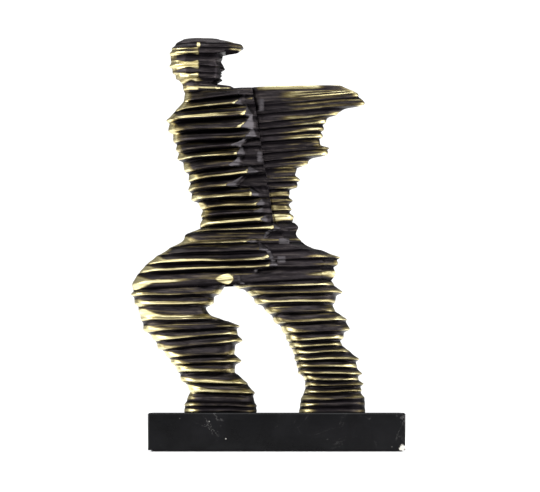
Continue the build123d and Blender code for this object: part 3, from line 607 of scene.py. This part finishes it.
def build_casting(node, finish):
    """The finished casting's rows, with how polished each point is (with painted highlight at the rims), how
    sunken (with painted shade on faces that look down) and how flatly cut.
    """
    casting = Casting(node, finish.columns)
    rows = rows_of(casting, finish, node in GROOVE_BELOW, node in GROOVE_ABOVE)
    height = np.array([r.height for r in rows])[:, None]
    slab = np.array([r.slab for r in rows])[:, None]
    up = np.array([r.up for r in rows])[:, None]
    pitch = np.array([r.pitch for r in rows])[:, None]
    centre = casting.centre(height[:, 0])[:, None]
    tilt = casting.tilt(height[:, 0])[:, None]
    radius = np.array([casting.radii(r.read, casting.centre(r.height)) for r in rows])
    dx, dy = casting.directions[None, :, 0], casting.directions[None, :, 1]
    plain_x, plain_y = facing(centre + radius * dx, radius * dy)

    # Corners in plan are rounded, apart from the cut facets of the torso and the pelvis.
    girth = 2 * pi * radius.mean()
    rounded = smoothed_round(radius, finish.round / girth * finish.columns)
    cut = np.zeros_like(radius)
    if node in FACETED:
        cut = smoothstep(*CUT_FACING, plain_x) * (plain_y < 0)
    cut = np.clip(smoothed_round(cut, 2.0) * 2.0, 0, 1)
    rounded = rounded + (radius - rounded) * cut
    # Rounding draws the left and right tips in, so each row is stretched back out to them.
    regain = np.ones_like(radius)
    for side in (-1, 1):
        reach = (radius * dx * side).max(axis=1) / (rounded * dx * side).max(axis=1)
        regain = np.where(dx * side > 0, reach[:, None], regain)
    radius, dx = rounded, dx * regain
    x, y = centre + radius * dx, radius * dy
    facing_x, facing_y = facing(x, y)
    facing_x = smoothed_round(facing_x, 2.0)
    from_left, from_right = x - x.min(axis=1)[:, None], x.max(axis=1)[:, None] - x
    seed = finish.seed
    lobe = vary(RIM_WIDTH, x, y, slab, seed)
    left_rim = 1 - smoothstep(0, 1, from_left / lobe)
    right_rim = 1 - smoothstep(0, 1, from_right / (0.75 * lobe))
    broad = 1 - np.maximum(smoothstep(*TIP_FACING, -facing_x), smoothstep(*TIP_FACING, facing_x))
    inner_end = np.minimum(height - casting.bottom, casting.top - height)
    away_from_ends = smoothstep(0, END_FADE, inner_end)
    foot = np.zeros_like(height)
    foot_band = 0.5 + 0.5 * np.cos(2 * pi * (height - casting.bottom - FOOT_LOWEST_BAND) / FOOT_BAND)
    if node.endswith("leg_casting"):
        foot = smoothstep(*FOOT_FADE, height - casting.bottom)
        away_from_ends = np.maximum(away_from_ends, foot)
    joint_face = np.zeros_like(x)
    if node == "arm_casting":
        joint_face = smoothstep(*ARM_JOINT_FACING, -plain_x)
    if node == "torso_casting":
        joint_face = smoothstep(*TORSO_JOINT_FACING, plain_x)
    free = 1 - joint_face

    # Deeper grooves, minor ridges, and a different outline for each ridge.
    groove = np.interp(up, GROOVE_UP, GROOVE_IN)
    carve = finish.extra * groove * vary(GROOVE_DEPTH, x, y, slab, seed) * (0.2 + 0.8 * broad)
    carve = carve + finish.slab * vary(RIDGE_OUTLINE, x, y, slab, seed) * broad
    minor_crest = np.zeros_like(x)
    for order, at in enumerate(MINOR_RIDGES):
        shift = at + vary(MINOR_PLACE, x, y, slab, seed + order)
        below = np.clip((shift - up) / 0.12, 0, 1)
        tooth = np.where(up < shift, 1 - below, np.clip(1 - (up - shift) / 0.2, 0, 1))
        strength = smoothstep(-0.8, 0.4, vary(MINOR_STRENGTH, x, y, slab, seed + order))
        strength = strength * smoothstep(*MINOR_PITCH, pitch) * np.where(up < GROOVE_AT, 1, 0)
        tooth = tooth * strength * smoothstep(0.1, 0.2, up)
        minor_crest = np.maximum(minor_crest, tooth)
        carve = carve - finish.minor * tooth * (0.25 + 0.75 * broad)
    lines = vary(FINE_LINES, x, y, height, seed) + vary(BROAD_LINES, x, y, height, seed)
    carve = carve - finish.line * lines * (1 + 1.6 * foot) + FOOT_BAND_DEPTH * foot * (1 - foot_band)
    carve = carve + vary(PITTING, x, y, height, seed)
    radius = radius - carve * free * (0.3 + 0.7 * away_from_ends)
    tips = np.clip(0.15 + smoothstep(0.45, 0.9, np.abs(facing_x)), 0, 1)
    for _ in range(TIP_PASSES):
        softer = 0.25 * radius[:-2] + 0.5 * radius[1:-1] + 0.25 * radius[2:]
        radius[1:-1] = radius[1:-1] + (softer - radius[1:-1]) * tips[1:-1]
    radius = radius + JOINT_LAP * joint_face
    x, y = centre + radius * dx, radius * dy
    wander = finish.wave * vary(WANDER, x, y, height, seed) * away_from_ends * free
    z = height + tilt * (x - casting.middle) + wander

    # Hands have rubbed the crests bright. At the rims the gold spreads down each ridge's face, partly rubbed
    # and partly a painted highlight of the side softboxes, wider at the left rim, where the stronger light
    # falls.
    facet, passed = np.zeros_like(x), np.zeros_like(x)
    if node in FACETED:
        facet, passed = facets_of(node, casting, x, y, facing_x, facing_y, finish.columns)
    before_facet = np.clip(4 * smoothed_round(facet, 3.5), 0, 1) * (1 - facet)
    favour = vary(RIM_FAVOUR, x, y, slab, seed)
    wide = vary(CREST_WIDTH, x, y, slab, seed) + 0.16 * before_facet
    spread = wide + finish.rim * favour * (0.85 * left_rim + 0.40 * right_rim)
    polish = 1 - smoothstep(spread - 0.16, spread + 0.42, groove)
    strength = np.clip(vary(CREST_STRENGTH, x, y, slab, seed), 0.16, 1)
    strength = np.maximum(strength, np.maximum(0.95 * left_rim, 0.75 * right_rim))
    strength = np.maximum(strength, before_facet)
    crest = np.where(up < 0.5 * (GROOVE_AT + 1), slab - 1, slab)
    dim = np.ones_like(crest, dtype=float)
    for number, bright in DIM.get(node, {}).items():
        dim = np.where(crest == number, bright, dim)
    # Near the left rim even the dim crests brighten: painted highlight of the left light.
    strength = strength * (dim + (1 - dim) * 0.6 * smoothstep(0.5, 1.0, left_rim))
    polish = polish * strength
    polish = np.maximum(polish, vary(MINOR_SHINE, x, y, slab, seed) * minor_crest)
    polish = np.maximum(polish, finish.fine * smoothstep(0.0, 0.9, lines) * (1 - 0.6 * groove))
    dull = np.zeros_like(x)
    if node == "torso_casting":
        polish, dull = polish * (1 - passed), 0.55 * passed * (1 - facet)
    if node == "pelvis_casting":
        passed = passed * smoothstep(*PELVIS_SHINE_BACK, x)
        rubbed = smoothstep(*RUBBED_HEIGHT, height - casting.bottom) * smoothstep(*RUBBED_LEFT_OF, x)
        diamond = diamond_shine(x, y, z, lines)
        polish = np.maximum(polish * (1 - passed), diamond)
        facet = facet * (1 - rubbed)
        dull = 0.5 * passed * (1 - facet) * (1 - diamond)
    if node == "arm_casting":
        polish, dull = arm_shine(polish, x, from_right, casting.top - height, groove, lines)
    # The foot bands are rubbed gold, brightest at the left rim and less at the right, partly as painted
    # highlight of the side lights.
    on_foot = foot * foot_band * (0.9 * left_rim + 0.30 * right_rim + 0.22 + 0.22 * np.clip(lines, -1, 1))
    polish = np.maximum(polish * (1 - foot), on_foot) * finish.polish * free
    sunk_and_shade = np.maximum(finish.dark * groove, dull)
    sunk_and_shade = np.maximum(sunk_and_shade * (1 - foot), foot * (0.45 + 0.55 * (1 - foot_band)))
    if node == "head_casting":
        x, face = shape_face(node, x, y, z, groove)
        polish = head_shine(node, x, z, left_rim, lines, face)
        in_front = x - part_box(node)[0][0] - FACE_FRONT
        below_crown = casting.top - z
        underside = smoothstep(*PEAK_UNDERSIDE, below_crown) * smoothstep(*PEAK_IN_FRONT, in_front)
        underside = underside * (below_crown < PEAK_UNDERSIDE_DEPTH)
        # The peak's underside is painted shade: no gold, black and without metal.
        polish, sunk_and_shade = polish * (1 - underside), np.maximum(sunk_and_shade, UNDERSIDE_SHADE * underside)
    else:
        flat = small_facets(x, y, z)
        facet, polish, sunk_and_shade = np.maximum(facet, flat), polish * (1 - flat), sunk_and_shade * (1 - flat)
    return casting, x, y, z, np.clip(polish, 0, 1), sunk_and_shade, facet


def add_object(name, data):
    """Makes an object of this data and puts it in the scene."""
    made = bpy.data.objects.new(name, data)
    bpy.context.scene.collection.objects.link(made)
    return made


def mesh_casting(node, finish):
    """Makes the casting's object: its rows, a swelling top and a flat bottom."""
    casting, x, y, z, polish, sunk_and_shade, facet = build_casting(node, finish)
    rows, columns = x.shape
    centre_x, top_tilt = casting.centre(casting.top), casting.tilt(casting.top)
    bottom_x = casting.centre(casting.bottom)
    bottom_tilt = casting.tilt(casting.bottom)
    inner_x = bottom_x + (x[0] - bottom_x) * UNDERSIDE_SHARE
    inner_z = casting.bottom + bottom_tilt * (inner_x - casting.middle)
    layers = [np.column_stack([inner_x, y[0] * UNDERSIDE_SHARE, inner_z])]
    layers += [np.column_stack([x[i], y[i], z[i]]) for i in range(rows)]
    # The underside ring and the bottom's middle are painted shade: black and without metal.
    values = [np.tile([0.0, UNDERSIDE_SHADE, 0.0], (columns, 1))]
    values += [np.column_stack([polish[i], sunk_and_shade[i], facet[i]]) for i in range(rows)]
    for share, rise in DOME:
        cap_x = centre_x + (x[-1] - centre_x) * share
        cap_y = y[-1] * share
        cap_z = casting.top + top_tilt * (cap_x - casting.middle) + rise * finish.dome
        layers.append(np.column_stack([cap_x, cap_y, cap_z]))
        sooty, uncut = np.full(columns, DOME_SUNK), np.zeros(columns)
        values.append(np.column_stack([polish[-1] * DOME_POLISH, sooty, uncut]))
    points = np.concatenate(layers)
    count = len(layers)
    low = np.arange(columns)
    faces = []
    for i in range(count - 1):
        a, b = i * columns + low, i * columns + np.roll(low, -1)
        faces.append(np.column_stack([a, b, b + columns, a + columns]))
    faces = np.concatenate(faces).tolist()
    bottom_middle, top_middle = len(points), len(points) + 1
    bottom_z = casting.bottom + bottom_tilt * (bottom_x - casting.middle)
    top_z = casting.top + top_tilt * (centre_x - casting.middle) + finish.dome
    points = np.vstack([points, [[bottom_x, 0, bottom_z], [centre_x, 0, top_z]]])
    last = (count - 1) * columns
    for a, b in zip(low.tolist(), np.roll(low, -1).tolist()):
        faces.append([b, a, bottom_middle])
        faces.append([last + a, last + b, top_middle])
    mesh = bpy.data.meshes.new(node.replace("_casting", "_bronze"))
    mesh.from_pydata(points.tolist(), [], faces)
    values = np.vstack(values + [[[0, UNDERSIDE_SHADE, 0], [0, DOME_SUNK, 0]]])
    for name, column in zip(("polish", "sunk_and_shade", "facet"), values.T):
        mesh.attributes.new(name, "FLOAT", "POINT").data.foreach_set("value", column.astype(np.float32))
    mesh.shade_smooth()
    mesh.set_sharp_from_angle(angle=0.9)
    return add_object(mesh.name, mesh)


# -------- materials
class Nodes:
    """A material's node tree, built with short calls."""

    def __init__(self, name):
        self.material = bpy.data.materials.new(name)
        self.material.use_nodes = True
        self.tree = self.material.node_tree
        self.shader = self.tree.nodes["Principled BSDF"]
        self.place = self.add("ShaderNodeTexCoord").outputs["Object"]

    def add(self, kind, **settings):
        node = self.tree.nodes.new(kind)
        for key, value in settings.items():
            if key in node.inputs:
                self.set(node.inputs[key], value)
            else:
                setattr(node, key, value)
        return node

    def set(self, socket, value):
        if isinstance(value, bpy.types.NodeSocket):
            self.tree.links.new(value, socket)
        else:
            socket.default_value = value

    def attribute(self, name):
        return self.add("ShaderNodeAttribute", attribute_name=name).outputs["Fac"]

    def noise(self, scale, detail=3.0, rough=0.55, stretch=(1, 1, 1), distortion=0.0):
        spread = self.add("ShaderNodeMapping", Vector=self.place, Scale=stretch)
        node = self.add("ShaderNodeTexNoise", Vector=spread.outputs[0], Scale=scale, Detail=detail)
        node.inputs["Roughness"].default_value = rough
        node.inputs["Distortion"].default_value = distortion
        return node.outputs["Fac"]

    def math(self, operation, a, b=0.0, c=0.0, clamp=False):
        node = self.add("ShaderNodeMath", operation=operation, use_clamp=clamp)
        for socket, value in zip(node.inputs, (a, b, c)):
            self.set(socket, value)
        return node.outputs[0]

    def ramp(self, value, low, high, out_low=0.0, out_high=1.0):
        node = self.add("ShaderNodeMapRange", interpolation_type="SMOOTHSTEP")
        for key, number in {"Value": value, "From Min": low, "From Max": high}.items():
            self.set(node.inputs[key], number)
        node.inputs["To Min"].default_value = out_low
        node.inputs["To Max"].default_value = out_high
        return node.outputs[0]

    def mix(self, factor, a, b):
        node = self.add("ShaderNodeMix", data_type="RGBA")
        self.set(node.inputs["Factor"], factor)
        self.set(node.inputs[6], a)
        self.set(node.inputs[7], b)
        return node.outputs[2]

    def bump(self, height, distance, strength=1.0, under=None):
        node = self.add("ShaderNodeBump", Strength=strength, Distance=distance, Height=height)
        if under is not None:
            self.set(node.inputs["Normal"], under)
        return node.outputs[0]

    def finish(self, **sockets):
        for key, value in sockets.items():
            self.set(self.shader.inputs[key.replace("_", " ")], value)
        return self.material


def bronze():
    """Cast bronze: black in the grooves, purple-brown on the faces, rubbed to pale gold on the crests, which
    spreads at the rims partly as painted highlight. Faces that look straight down are painted shade: black
    and without metal.
    """
    n = Nodes("patinated_bronze")
    polish, sunk_and_shade, facet = n.attribute("polish"), n.attribute("sunk_and_shade"), n.attribute("facet")
    mottle = n.noise(240, 4, 0.6, stretch=(0.4, 0.4, 1.4))
    streak = n.noise(1000, 3, 0.6, stretch=(0.08, 0.08, 1.0))
    grain = n.noise(2600, 2, 0.5)
    # The gold's mask: rubbed crests, and at the rims partly painted highlight.
    worn = n.math("ADD", polish, n.math("MULTIPLY_ADD", mottle, 0.36, -0.18))
    worn = n.math("ADD", worn, n.math("MULTIPLY_ADD", streak, 0.40, -0.20))
    worn = n.ramp(worn, 0.12, 0.95)
    face = n.mix(n.ramp(mottle, 0.35, 0.7), (0.021, 0.018, 0.020, 1), (0.043, 0.037, 0.040, 1))
    face = n.mix(n.ramp(streak, 0.45, 0.75), face, (0.080, 0.068, 0.066, 1))
    # Black in the grooves is patina; on faces that look straight down the same black is painted shade.
    deep = n.mix(n.ramp(sunk_and_shade, 0.35, 0.85), face, (0.006, 0.005, 0.006, 1))
    # No metal where faces look straight down, so that this painted shade reflects nothing.
    bright = n.ramp(sunk_and_shade, 1.1, 1.7, 1.0, 0.0)
    patina = n.mix(facet, deep, (0.086, 0.079, 0.085, 1))
    brown = n.mix(n.ramp(worn, 0.0, 0.45), patina, (0.155, 0.122, 0.052, 1))
    gold = n.mix(n.ramp(streak, 0.35, 0.7), (0.57, 0.49, 0.25, 1), (0.80, 0.73, 0.43, 1))
    colour = n.mix(n.ramp(worn, 0.30, 0.85), brown, gold)
    rough = n.math("MULTIPLY_ADD", worn, -0.14, 0.48)
    rough = n.math("ADD", rough, n.math("MULTIPLY_ADD", grain, 0.12, -0.06))
    coarse = n.bump(streak, 0.00016, 0.5)
    n.shader.inputs["Specular IOR Level"].default_value = 0.0
    fine = n.bump(grain, 0.00005, 0.45, under=coarse)
    return n.finish(Base_Color=colour, Metallic=bright, Roughness=rough, Normal=fine)


def marble():
    """Polished black marble: faint smudges, thin grey veins, pale specks and a chip at the lower right."""
    n = Nodes("black_marble")
    low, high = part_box("marble_base")
    cloud = n.noise(38, 5, 0.6, distortion=0.6)
    vein = n.noise(24, 6, 0.62, stretch=(1, 1, 1.7), distortion=1.4)
    line = n.ramp(n.math("ABSOLUTE", n.math("SUBTRACT", vein, 0.5)), 0.0, 0.006, 1.0, 0.0)
    line = n.math("MULTIPLY", line, n.ramp(cloud, 0.52, 0.68))
    cells = n.add("ShaderNodeTexVoronoi", Vector=n.place, Scale=130.0)
    speck = n.ramp(cells.outputs["Distance"], 0.03, 0.075, 1.0, 0.0)
    chosen = n.ramp(n.noise(70, 1), 0.60, 0.66)
    speck = n.math("MULTIPLY", speck, chosen)
    corner = (high[0] - 2 * MM, low[1], low[2] + 1.5 * MM)
    apart = n.add("ShaderNodeVectorMath", operation="DISTANCE")
    n.set(apart.inputs[0], n.place)
    apart.inputs[1].default_value = corner
    edge = n.math("MULTIPLY_ADD", n.noise(700, 3), 0.004, -0.002)
    chip = n.ramp(n.math("ADD", apart.outputs["Value"], edge), 0.0016, 0.0022, 1.0, 0.0)
    body = n.mix(n.ramp(cloud, 0.3, 0.75), (0.0020, 0.0020, 0.0024, 1), (0.0052, 0.0052, 0.0060, 1))
    colour = n.mix(n.math("MULTIPLY", line, 0.5), body, (0.16, 0.155, 0.15, 1))
    colour = n.mix(n.math("MULTIPLY", speck, 0.8), colour, (0.42, 0.41, 0.38, 1))
    colour = n.mix(chip, colour, (0.55, 0.53, 0.48, 1))
    smudge = n.noise(55, 4, 0.6)
    rough = n.ramp(smudge, 0.3, 0.75, 0.10, 0.24)
    rough = n.math("ADD", rough, n.math("MULTIPLY", chip, 0.5), clamp=True)
    scratch = n.noise(420, 2, 0.5, stretch=(0.06, 0.06, 1.0))
    relief = n.bump(scratch, 0.00003, 0.25)
    n.shader.inputs["Specular IOR Level"].default_value = 0.09
    return n.finish(Base_Color=colour, Roughness=rough, Normal=relief)


def felt():
    """Black felt: matted fibres that run every way."""
    n = Nodes("black_felt")
    fibre = n.noise(2400, 4, 0.7, distortion=2.0)
    clump = n.noise(240, 3)
    colour = n.mix(n.ramp(fibre, 0.3, 0.7), (0.008, 0.008, 0.010, 1), (0.045, 0.045, 0.052, 1))
    colour = n.mix(n.ramp(clump, 0.3, 0.8, 0.0, 0.4), colour, (0.022, 0.022, 0.028, 1))
    material = n.finish(Base_Color=colour, Roughness=0.95, Normal=n.bump(fibre, 0.00025, 0.8))
    n.shader.inputs["Sheen Weight"].default_value = 0.25
    return material


def steel():
    """Zinc-plated steel, turned, with faint rings and handling marks."""
    n = Nodes("plated_steel")
    rings = n.noise(1500, 2, 0.5, stretch=(0.15, 0.15, 1.0))
    marks = n.noise(300, 4, 0.6)
    colour = n.mix(n.ramp(marks, 0.3, 0.7), (0.46, 0.47, 0.49, 1), (0.64, 0.64, 0.63, 1))
    rough = n.ramp(rings, 0.3, 0.7, 0.24, 0.42)
    return n.finish(Base_Color=colour, Metallic=1.0, Roughness=rough, Normal=n.bump(rings, 0.00004, 0.5))


def paper():
    """The pale studio floor."""
    n = Nodes("studio_floor")
    tone = n.mix(n.ramp(n.noise(3, 2), 0.3, 0.7), (0.86, 0.86, 0.86, 1), (0.88, 0.88, 0.88, 1))
    n.shader.inputs["Specular IOR Level"].default_value = 0.0
    return n.finish(Base_Color=tone, Roughness=0.75)


# -------- pieces
def wear(piece, material):
    """Gives the piece this material and no other."""
    piece.data.materials.clear()
    piece.data.materials.append(material)


def make_castings():
    material = bronze()
    for node, finish in CASTINGS.items():
        piece = mesh_casting(node, finish)
        wear(piece, material)
        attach(piece, "root")
        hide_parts(node)


# The felt's corner radius, and how far its edges and its pile sink in, as shares of its thickness.
FELT_CORNER = 1.5 * MM
FELT_SOFT_EDGE = 0.18
FELT_PILE = 0.05
FELT_SEED = 5


def make_felt():
    """A thin sheet on a grid of 1 mm, with soft edges and a slightly uneven pile."""
    low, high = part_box("felt_pad")
    width, depth, thick = high[0] - low[0], high[1] - low[1], high[2] - low[2]
    across, back = round(width / MM), round(depth / MM)
    bm = bmesh.new()
    grids = []
    for level in (0, 1):
        grid = {}
        for i in range(across + 1):
            for j in range(back + 1):
                x, y = (i / across - 0.5) * width, (j / back - 0.5) * depth
                over_x = abs(x) - (width / 2 - FELT_CORNER)
                over_y = abs(y) - (depth / 2 - FELT_CORNER)
                if over_x > 0 and over_y > 0:
                    pull = FELT_CORNER / max(FELT_CORNER, (over_x**2 + over_y**2) ** 0.5)
                    x = (abs(x) - over_x * (1 - pull)) * (1 if x > 0 else -1)
                    y = (abs(y) - over_y * (1 - pull)) * (1 if y > 0 else -1)
                edge = min(i, across - i, j, back - j)
                soft = FELT_SOFT_EDGE * thick if edge == 0 else 0.0
                place = (np.float64(x / MM), np.float64(y / MM), np.float64(level))
                pile = FELT_PILE * thick * float(noise(*place, FELT_SEED))
                z = low[2] + soft + max(pile, 0) if level == 0 else high[2] - soft + min(pile, 0)
                grid[i, j] = bm.verts.new((x, y, z))
        grids.append(grid)
    for level, grid in enumerate(grids):
        for i in range(across):
            for j in range(back):
                corners = [grid[i, j], grid[i + 1, j], grid[i + 1, j + 1], grid[i, j + 1]]
                bm.faces.new(corners if level else corners[::-1])
    ring = [(i, 0) for i in range(across)] + [(across, j) for j in range(back)]
    ring += [(i, back) for i in range(across, 0, -1)] + [(0, j) for j in range(back, 0, -1)]
    for a, b in zip(ring, ring[1:] + ring[:1]):
        bm.faces.new([grids[0][a], grids[0][b], grids[1][b], grids[1][a]])
    mesh = bpy.data.meshes.new("felt_sheet")
    bm.to_mesh(mesh)
    bm.free()
    mesh.shade_smooth()
    piece = add_object("felt_sheet", mesh)
    wear(piece, felt())
    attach(piece, "root")
    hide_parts("felt_pad")


def finish_frame_nodes():
    """The slab and the hidden steel keep their CAD shapes and get their materials."""
    wear(frame["nodes"]["marble_base"], marble())
    plated = steel()
    for part in frame["record"]["subparts"]:
        if part["material_slot"] == "steel":
            wear(frame["nodes"][part["node"]], plated)


# -------- studio
VIEW_DISTANCE = 1.8
VIEW_HEIGHT = 30 * MM
PICTURE_WIDTH = 356.4 * MM
SENSOR = 36.0
# The room is white, and is dimmer where the bronze mirrors it, so that the grooves stay dark.
WORLD_LIGHT = 1.2
WORLD_IN_GLOSS = 0.22
LOOK_AT_X = -4.3 * MM
LOOK_AT_HEIGHT = 135 * MM
LIT_POINT = (0, 0, 0.14)
# Each softbox is (name, place, size, power), in metres and watts.
SOFTBOXES = [
    ("left_softbox", (-1.0, -0.35, 0.35), (0.7, 1.0), 12),
    ("right_softbox", (1.0, -0.25, 0.30), (0.5, 0.9), 8),
    ("top_softbox", (0.0, 0.2, 1.3), (1.2, 0.8), 10),
    ("front_softbox", (0.0, -0.9, 1.3), (1.2, 0.4), 10),
]
FLOOR_RADIUS = 8.0


def aim(thing, target):
    """Turns a camera or a lamp to face the target."""
    thing.rotation_mode = "QUATERNION"
    thing.rotation_quaternion = (target - thing.location).to_track_quat("-Z", "Y")


def make_camera():
    """Level with the top of the slab, looking slightly up at the figure."""
    floor_height = cad_box[0][2]
    data = bpy.data.cameras.new("camera")
    data.sensor_width = SENSOR
    data.lens = SENSOR * VIEW_DISTANCE / PICTURE_WIDTH
    camera = add_object("camera", data)
    target = Vector((LOOK_AT_X, 0, floor_height + LOOK_AT_HEIGHT))
    camera.location = (target.x, -VIEW_DISTANCE, floor_height + VIEW_HEIGHT)
    aim(camera, target)
    bpy.context.scene.camera = camera


def area_light(name, place, size, power):
    """A softbox that faces the figure's middle and is not seen itself."""
    data = bpy.data.lights.new(name, "AREA")
    data.shape = "RECTANGLE"
    data.size, data.size_y = size
    data.energy = power
    lamp = add_object(name, data)
    lamp.location = place
    aim(lamp, Vector(LIT_POINT))
    lamp.visible_camera = False


def make_studio():
    """Four softboxes, a pale floor and a white room."""
    for softbox in SOFTBOXES:
        area_light(*softbox)
    floor_mesh = bpy.data.meshes.new("floor")
    bm = bmesh.new()
    bmesh.ops.create_circle(bm, cap_ends=True, radius=FLOOR_RADIUS, segments=96)
    bm.to_mesh(floor_mesh)
    bm.free()
    floor = add_object("floor", floor_mesh)
    wear(floor, paper())
    world = bpy.data.worlds.new("studio")
    world.use_nodes = True
    nodes, links = world.node_tree.nodes, world.node_tree.links
    ray = nodes.new("ShaderNodeLightPath")
    dim = nodes.new("ShaderNodeMapRange")
    dim.inputs["To Min"].default_value = WORLD_LIGHT
    dim.inputs["To Max"].default_value = WORLD_IN_GLOSS
    links.new(ray.outputs["Is Glossy Ray"], dim.inputs["Value"])
    links.new(dim.outputs[0], nodes["Background"].inputs["Strength"])
    nodes["Background"].inputs["Color"].default_value = (1, 1, 1, 1)
    bpy.context.scene.world = world
    bpy.context.scene.view_settings.view_transform = "Standard"


make_camera()
make_castings()
make_felt()
finish_frame_nodes()
make_studio()
